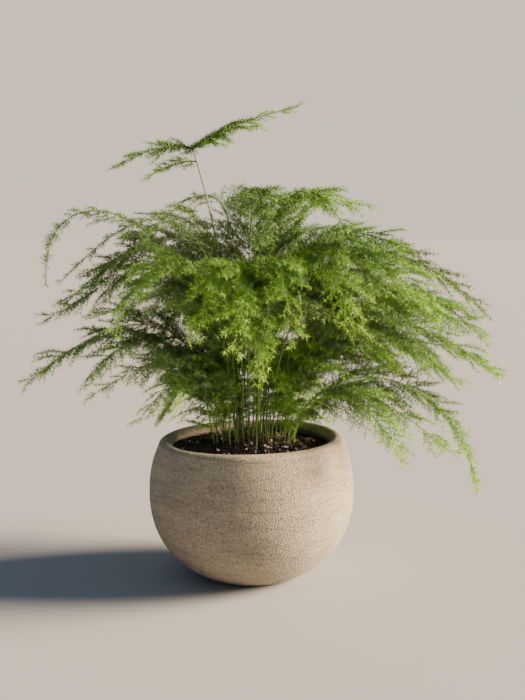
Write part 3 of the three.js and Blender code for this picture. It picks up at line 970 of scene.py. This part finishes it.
def spaced(lengths, spacing, offset):
    """Places along many stretches, about a spacing apart and at least one on each: the number
    of the stretch that each is on, its own number there, and its share of the stretch."""
    counts = np.maximum(1, np.round(lengths / spacing)).astype(int)
    stretch = np.repeat(np.arange(len(counts)), counts)
    step = np.arange(counts.sum()) - np.repeat(np.cumsum(counts) - counts, counts)
    return stretch, step, (step + offset) / counts[stretch]


def tufts_along(controls, lengths, first, ages, tints):
    """Where tufts stand on many curves: (places, headings, ages, tints, sizes), one every
    TUFT_SPACING from a share of each curve to its end. The last are the youngest and smallest,
    by the share of the length to the power 4."""
    curve, _, share = spaced(lengths * (1 - first), TUFT_SPACING, 0.8)
    t = (first + (1 - first) * share)[:, None]
    places = along(controls[curve], t)[:, 0]
    late = t[:, 0] ** 4
    ahead = heading(controls[curve], t)[:, 0]
    return places, ahead, ages[curve] + TIP_YOUNGER * late, tints[curve], 1 - TIP_SMALLER * late


def needle_stars(tufts, rng):
    """One six-needled star at every tuft, turned along its twig, spun and sized at random. Its
    core is older than its tips, and U differs a little from needle to needle."""
    places, ahead, ages, tints, sizes = (np.concatenate(part) for part in zip(*tufts))
    count = len(places)
    other = unit(np.cross(ahead, rng.normal(size=(count, 3))))
    turns = np.stack([other, np.cross(ahead, other), ahead], -1)
    tints = varied(tints, 0.35, rng)
    size = NEEDLE_LENGTH * sizes[:, None, None] * rng.uniform(0.75, 1.15, (count, 1, 1))
    reach = rng.uniform(0.8, 1.1, (count, len(STAR_POINTS), 1))
    points = np.einsum("nij,npj->npi", turns, STAR_POINTS[None] * size * reach)
    points += places[:, None]
    offset = (np.arange(count) * len(STAR_POINTS))[:, None, None]
    faces = (STAR_FACES[None] + offset).reshape(-1, 3)
    corner = np.arange(len(STAR_POINTS))
    u = np.clip(tints[:, None] + corner % 5 * 0.012, 0.001, 0.999)
    v = np.clip(ages[:, None] + np.where(corner > 4, 0.1, -0.06), 0.001, 0.999)
    return points.reshape(-1, 3), [faces], np.stack([u, v], -1).reshape(-1, 2)


def filler_branches(rachis, start, reach_share, spread, sink, rng):
    """Side branches between the CAD's: pairs along the spray, with about the same lengths and
    slopes. They fold forwards towards its tip, by half of their angle at the end, and about half
    of them are missing there."""
    length = path_length(rachis) * (1 - start)
    count = max(4, round(length / FILLER_SPACING * min(1, reach_share)))
    share = np.repeat((np.arange(count) + 0.5) / count, 2)
    side = np.tile([1, -1], count)
    share = np.clip(share + rng.uniform(-0.3, 0.3, 2 * count) / count, 0.01, 0.98)
    t = at_share(rachis, start + (1 - start) * share)
    reach = reach_share * side_reach(spread, share, rng.uniform(*FILLER_LENGTHS, 2 * count))
    rise = rng.uniform(*FILLER_RISES, 2 * count)
    splay = (SPLAY + SPLAY_SCATTER * rng.uniform(-1, 1, 2 * count)) * (1 - 0.5 * share ** 2)
    droop = sink * rng.uniform(*FILLER_DROOPS, 2 * count)
    feet, ahead = along(rachis, t), unit(heading(rachis, t) * LEVELLED)
    kept = rng.uniform(0, 1, 2 * count) > 0.55 * share ** 2
    return branch_curves(feet, ahead, side, reach, rise, splay, droop)[kept], share[kept]


def basal_branches(stem, turn, rng):
    """Short, sparse branches on the bare lower stem: they leave it within BASAL_SWING radians
    of the frond's own way, rise at first and then sink, but not onto the lip. They are fewest
    and shortest in front, where the stems show, by the cosine between that way and the front."""
    frontal = max(0.0, -math.sin(math.radians(turn)))
    count = int(BASAL_COUNT * path_length(stem) / 400 * (1 - 0.7 * frontal))
    foot = along(stem, at_share(stem, rng.uniform(BASAL_START, SPRAY_START, count)))
    foot = foot[foot[:, 2] > BASAL_LOWEST]
    count = len(foot)
    way = math.radians(turn) + rng.uniform(-BASAL_SWING, BASAL_SWING, count)
    out = unit(np.stack([np.cos(way), np.sin(way), rng.uniform(0.1, 0.9, count)], -1))
    length = rng.uniform(*BASAL_LENGTHS, count)[:, None] * (1 - 0.75 * frontal)
    curves = bowed(foot, out, out, length, BASAL_ARCH, 0, BASAL_DROOP)
    end = curves[:, 2]
    over = np.hypot(end[:, 0], end[:, 1]) > BASAL_REACH
    end[:, 2] = np.where(over, np.maximum(end[:, 2], BASAL_CLEAR), end[:, 2])
    return curves


def twig_curves(branches, lengths, rng):
    """Twigs along each side branch, alternately to either side and a little up or down: bowed
    curves that leave it at TWIG_SPLAY and shrink towards its end. Returned with their lengths,
    the number of the branch that each is on, and its share of that branch."""
    branch, step, share = spaced(lengths, TWIG_SPACING, 0.6)
    controls = branches[branch]
    start = along(controls, share[:, None])[:, 0]
    ahead = heading(controls, share[:, None])[:, 0]
    across = unit(np.cross(UP, ahead))
    side = np.where(step % 2 == 0, 1, -1)[:, None]
    lift = rng.uniform(*TWIG_LIFTS, (len(share), 1))
    out = unit(ahead * math.cos(TWIG_SPLAY) + across * side * math.sin(TWIG_SPLAY) + UP * lift)
    length = TWIG_SHARE * lengths[branch] * (1 - 0.7 * share) * rng.uniform(*TWIG_LENGTHS, len(share))
    length = np.clip(length + TWIG_LEAST, TWIG_LEAST, TWIG_MOST)
    twigs = bowed(start, out, ahead, length[:, None], TWIG_ARCH, TWIG_FORWARD, TWIG_DROOP)
    return twigs, length, branch, share


def curve_lengths(controls):
    """The length of many short curves, from eight steps each."""
    points = along(controls, np.linspace(0, 1, 9))
    return np.linalg.norm(np.diff(points, axis=1), axis=2).sum(1)


def tube_set(controls, radii, steps, sides, ages, tints):
    """Tubes along many curves, from the first radius to the second, coloured by tint and by age,
    with their ends a little younger."""
    share = np.linspace(0, 1, steps)
    radii = radii[0] + (radii[1] - radii[0]) * share
    uv = np.stack(np.broadcast_arrays(tints[:, None], ages[:, None] + 0.1 * share), -1)
    count = len(controls)
    return tubes(along(controls, share), np.broadcast_to(radii, (count, steps)), sides,
                 np.clip(uv, 0.001, 0.98))


def varied(tints, amount, rng):
    """Tints with a random step of up to the amount either way."""
    return np.clip(tints + rng.uniform(-amount, amount, len(tints)), 0.02, 0.94)


def leafy(branches, ages, tints, rng):
    """Side branches with their twigs: the shapes of their wood, and where their tufts stand."""
    lengths = curve_lengths(branches)
    twigs, twig_lengths, parent, place = twig_curves(branches, lengths, rng)
    twig_ages = ages[parent] + 0.1 * place ** 2
    twig_tints = varied(tints[parent], 0.12, rng)
    wood = [tube_set(branches, BRANCH_RADII, 7, 4, ages + WOOD_YOUNGER, tints),
            tube_set(twigs, TWIG_RADII, 3, 3, twig_ages + WOOD_YOUNGER, twig_tints)]
    tufts = [tufts_along(twigs, twig_lengths, 0.1, twig_ages, twig_tints),
             tufts_along(branches, lengths, 0.12, ages, tints)]
    return wood, tufts


def main_stems(stem, sprays, tint, youth_and_painted_light):
    """The stem and any sprays that it forks into, as tubes: the radius runs from foot to tip
    with the share of the length to the power STEM_TAPER. They are woody at the foot and greener
    towards the tip, most of all on a fresh frond, where freshness holds painted light as well as
    age, but a stem that forks stays woody and dark, as old wood and as painted shade."""
    paths = np.array([stem] + [spray[0] for spray in sprays if spray[0] is not stem])
    forks = len(paths) > 1
    share = np.linspace(0, 1, STEM_RINGS)
    feet = np.full((len(paths), 1), FORKING_RADIUS)
    feet[0] = STEM_FOOT_RADIUS
    tips = np.full((len(paths), 1), STEM_TIP_RADIUS)
    tips[0] = FORKING_RADIUS if forks else STEM_TIP_RADIUS
    radii = feet + (tips - feet) * share ** STEM_TAPER
    growth = np.full((len(paths), 1), 0.5)
    # A forked stem is kept dark: old wood, and painted shade as well.
    growth[0] = 0.06 if forks else 0.25 + 0.3 * youth_and_painted_light
    woody = 0.02 if forks else 0.09 * tint
    age = np.broadcast_to(woody + growth * share, radii.shape)
    uv = np.stack([np.full(radii.shape, tint), age], -1)
    return tubes(along(paths, share), radii, STEM_SIDES, uv)


def basal_growth(stem, turn, tint, rng):
    """Basal branches with their twigs: the shapes of their wood, and where their tufts stand."""
    low = basal_branches(stem, turn, rng)
    wood, tufts = leafy(low, np.full(len(low), BASAL_AGE), np.full(len(low), tint), rng)
    return wood, [tuple(part[::BASAL_THINNING] for part in group) for group in tufts]


def make_frond(name, stem, sprays, number, youth_and_painted_light, turn=None):
    """One frond: its stem, its sprays of side branches and twigs, and tufts of needles along
    them. A spray holds its rachis, the share of it that is bare, the fillers' share of the CAD's
    reach, its widest branch, how much the branches sink, and the CAD's own branches. A frond
    with a turn has basal branches too, which stand about that way."""
    rng = np.random.default_rng(FROND_SEED + number)
    tint = rng.uniform(0.1, 0.9)
    wood, tufts = [main_stems(stem, sprays, tint, youth_and_painted_light)], []
    for rachis, start, fill, spread, sink, own in sprays:
        fillers, shares = filler_branches(rachis, start, fill, spread, sink, rng)
        own_shares = (np.arange(len(own)) + 0.5) / max(1, len(own))
        shares = np.concatenate([own_shares, shares])
        branches = np.concatenate([own, fillers])
        # Ages follow freshness, which holds painted light and shade as well as age.
        ages = OLDEST + YOUNGEST * youth_and_painted_light * (0.26 + 0.74 * shares) + 0.2 * shares ** 2
        if turn is not None:
            low_wood, low_tufts = basal_growth(stem, turn, tint, rng)
            wood += low_wood
            tufts += low_tufts
        tints = varied(np.full(len(branches), tint), 0.3, rng)
        more_wood, more_tufts = leafy(branches, ages, tints, rng)
        wood += more_wood
        tufts += more_tufts
        length = np.array([path_length(rachis)])
        tip_age, tip_tint = np.array([ages.max()]), np.array([tint])
        tufts.append(tufts_along(rachis[None], length, start, tip_age, tip_tint))
    make_piece(f"{name}_stem", wood, STEM, [name])
    make_piece(f"{name}_needles", [needle_stars(tufts, rng)], NEEDLES, smooth=False)


def make_shoot(number, controls):
    """A young shoot with a thin tip and its first tufts of needles: the radius falls with the
    share of the length to the power 1.5, and the tufts stand closer together than on a twig."""
    share = np.linspace(0, 1, SHOOT_RINGS)
    foot, tip = SHOOT_RADII
    radii = (foot + (tip - foot) * share ** 1.5)[None]
    uv = np.stack([np.full((1, SHOOT_RINGS), 0.7), (0.35 + 0.55 * share)[None]], -1)
    shaft = tubes(along(controls, share)[None], radii, STEM_SIDES, uv)
    make_piece(f"shoot_{number}_stem", [shaft], STEM, [f"shoot_{number}"])
    rng = np.random.default_rng(SHOOT_SEED + number)
    length = np.array([path_length(controls) * SHOOT_DENSITY])
    tufts = [tufts_along(controls[None], length, SHOOT_BARE, np.array([0.66]), np.array([0.6]))]
    leaves = needle_stars(tufts, rng)
    make_piece(f"shoot_{number}_needles", [leaves], NEEDLES, smooth=False)


def sun_cosine(turn):
    """How far a turn faces the sunny side: 1 is towards it, and -1 away from it."""
    return math.cos(math.radians(turn - SUNNY_TURN))


def youth_and_painted_light_of(turn, number):
    """How young a frond looks, from 0 to 1: painted younger and brighter towards SUNNY_TURN, as
    painted light, and some by chance.
    """
    return 0.05 + 0.6 * (0.5 + 0.5 * sun_cosine(turn)) ** 1.4 + 0.35 * scatter(number + 71) ** 2


def make_plant():
    """The skeleton first, in the CAD's order, then every frond round its part of it."""
    tall_stem = np.array(TALL_STEM, float)
    take(TALL, samples(tall_stem, STEM_STEPS))
    shoots = []
    for number, (foot, tip) in enumerate(SHOOTS):
        height = foot[2] + (tip[2] - foot[2]) * SHOOT_BEND_SHARE
        shoot = np.array([foot, [foot[0], foot[1], height], tip], float)
        take(FIRST_SHOOT + number, samples(shoot, STEM_STEPS))
        shoots.append(shoot)
    stems = [arching_stem(row, number) for number, row in enumerate(ARCHING_FRONDS)]
    forks = []
    for spray in TALL_SPRAYS + SHORT_SPRAYS:
        rachis = np.array([on_stem(tall_stem, spray["at"]), *spray["ends"]], float)
        spread, sink, own = spray["spread"], SIDE_DROOP, np.zeros((0, 3, 3))
        if spray in TALL_SPRAYS:
            sink = TALL_DROOP
            own = cad_branches(TALL, rachis, FORK_SPRAY_START, spread, sink)
        forks.append((rachis, 0.0, FILLER_SHARE, spread, sink, own))
    make_frond("frond_tall", tall_stem, forks, TALL, TALL_YOUTH_AND_PAINTED_LIGHT)
    for number, (stem, row) in enumerate(zip(stems, ARCHING_FRONDS)):
        turn, spread = row[0], row[6]
        own = cad_branches(number, stem, SPRAY_START, spread, SIDE_DROOP)
        name = f"frond_{number + 1:02d}"
        low = row[1] < LOW_LIFT
        start = LOW_SPRAY_START if low else SPRAY_START
        fill = FULLNESS.get(number + 1, LOW_FILLER_SHARE if low else FILLER_SHARE)
        sprays = [(stem, start, fill, spread, SIDE_DROOP, own)]
        # A frond's freshness, part age and part painted light and shade, from its number or its turn.
        youth_and_painted_light = YOUTH_AND_PAINTED_LIGHT.get(number + 1, youth_and_painted_light_of(turn, number))
        make_frond(name, stem, sprays, number, youth_and_painted_light, turn)
    for number, shoot in enumerate(shoots, 1):
        make_shoot(number, shoot)


# ==== Stage ====

CAMERA_DISTANCE = 935.0
CAMERA_HEIGHT = 334.0
CAMERA_ASIDE = 10.8
CAMERA_PITCH = math.radians(6.9)
IMAGE_HEIGHT = 700
FOCAL_PIXELS = 970.0
SENSOR = 36.0
FLOOR_HALF = 45.0
# How bright the air is as a light, and as the pale backdrop that it looks like.
AIR_GLOW = 0.45
AIR_SEEN = 1.2
# Each lamp's kind, its place in metres, its size (an angle for the far one, metres for the
# others), its power and its colour. The fills light only the plant.
LAMPS = [
    ("key", "SUN", (1.5, 0.14, 0.74), math.radians(26), 27.0, "#ffe6c6"),
    ("front_fill", "AREA", (-0.66, -0.6, 0.08), 0.6, 8.0, "#fff4e2"),
    ("back_fill", "AREA", (-0.5, 1.2, 0.5), 0.8, 7.0, "#fff4e2"),
]
LAMP_TARGET = np.array([0, 0, 0.22])


def make_stage():
    """A pale floor, air that is a dim blue light and looks like a pale backdrop, a large low lamp
    from the right, and two weak ones for the plant's shaded sides."""
    floor_mesh = bpy.data.meshes.new("floor")
    corners = [(-1, -1), (1, -1), (1, 1), (-1, 1)]
    floor_mesh.from_pydata([(x * FLOOR_HALF, y * FLOOR_HALF, 0) for x, y in corners],
                           [], [(0, 1, 2, 3)])
    material, _, shader = new_material("pale_floor", 0.9)
    shader.inputs["Base Color"].default_value = linear("#9a9a9a")
    floor_mesh.materials.append(material)
    floor = bpy.data.objects.new("floor", floor_mesh)
    bpy.context.scene.collection.objects.link(floor)
    world = bpy.data.worlds.new("studio_air")
    world.use_nodes = True
    air = world.node_tree
    glow = air.nodes["Background"]
    glow.inputs["Color"].default_value = linear("#b9cbe6")
    glow.inputs["Strength"].default_value = AIR_GLOW
    backdrop = node(air, "ShaderNodeBackground", Color=linear("#eadcc8"), Strength=AIR_SEEN)
    seen = node(air, "ShaderNodeLightPath").outputs["Is Camera Ray"]
    both = node(air, "ShaderNodeMixShader", Fac=seen, _1=glow.outputs[0], _2=backdrop.outputs[0])
    air.links.new(both.outputs[0], air.nodes["World Output"].inputs["Surface"])
    bpy.context.scene.world = world
    fern = bpy.data.collections.new("fern")
    for piece in bpy.data.objects:
        if piece.name.endswith(("_stem", "_needles")):
            fern.objects.link(piece)
    for name, kind, *looks in LAMPS:
        lamp = add_lamp(name, kind, *looks)
        if kind == "AREA":
            lamp.light_linking.receiver_collection = fern


def add_lamp(name, kind, place, size, power, colour):
    """A lamp, unseen by the camera, that faces the middle of the plant."""
    data = bpy.data.lights.new(name, kind)
    if kind == "SUN":
        data.angle = size
    else:
        data.size = size
    data.energy = power
    data.color = linear(colour)[:3]
    lamp = bpy.data.objects.new(name, data)
    bpy.context.scene.collection.objects.link(lamp)
    lamp.visible_camera = False
    lamp.location = place
    way = unit(np.array(place) - LAMP_TARGET)
    lamp.rotation_euler = (math.acos(way[2]), 0, math.atan2(way[1], way[0]) + math.pi / 2)
    return lamp


def make_camera():
    """A level camera in front, tilted down by its pitch, whose lens has FOCAL_PIXELS pixels of
    focal length in an image IMAGE_HEIGHT pixels high."""
    data = bpy.data.cameras.new("camera")
    data.sensor_width = SENSOR
    data.lens = FOCAL_PIXELS / IMAGE_HEIGHT * SENSOR
    data.clip_start = 0.05
    camera = bpy.data.objects.new("camera", data)
    camera.location = (CAMERA_ASIDE * MM, -CAMERA_DISTANCE * MM, CAMERA_HEIGHT * MM)
    camera.rotation_euler = (math.pi / 2 - CAMERA_PITCH, 0, 0)
    bpy.context.scene.collection.objects.link(camera)
    bpy.context.scene.camera = camera


MIX = potting_mix()
WHITE = puffed_perlite()
BARK_BROWN = pine_bark()
STEM = wiry_stem()
NEEDLES = fine_needles()

make_bowl()
make_soil()
make_litter()
make_plant()
make_stage()
make_camera()
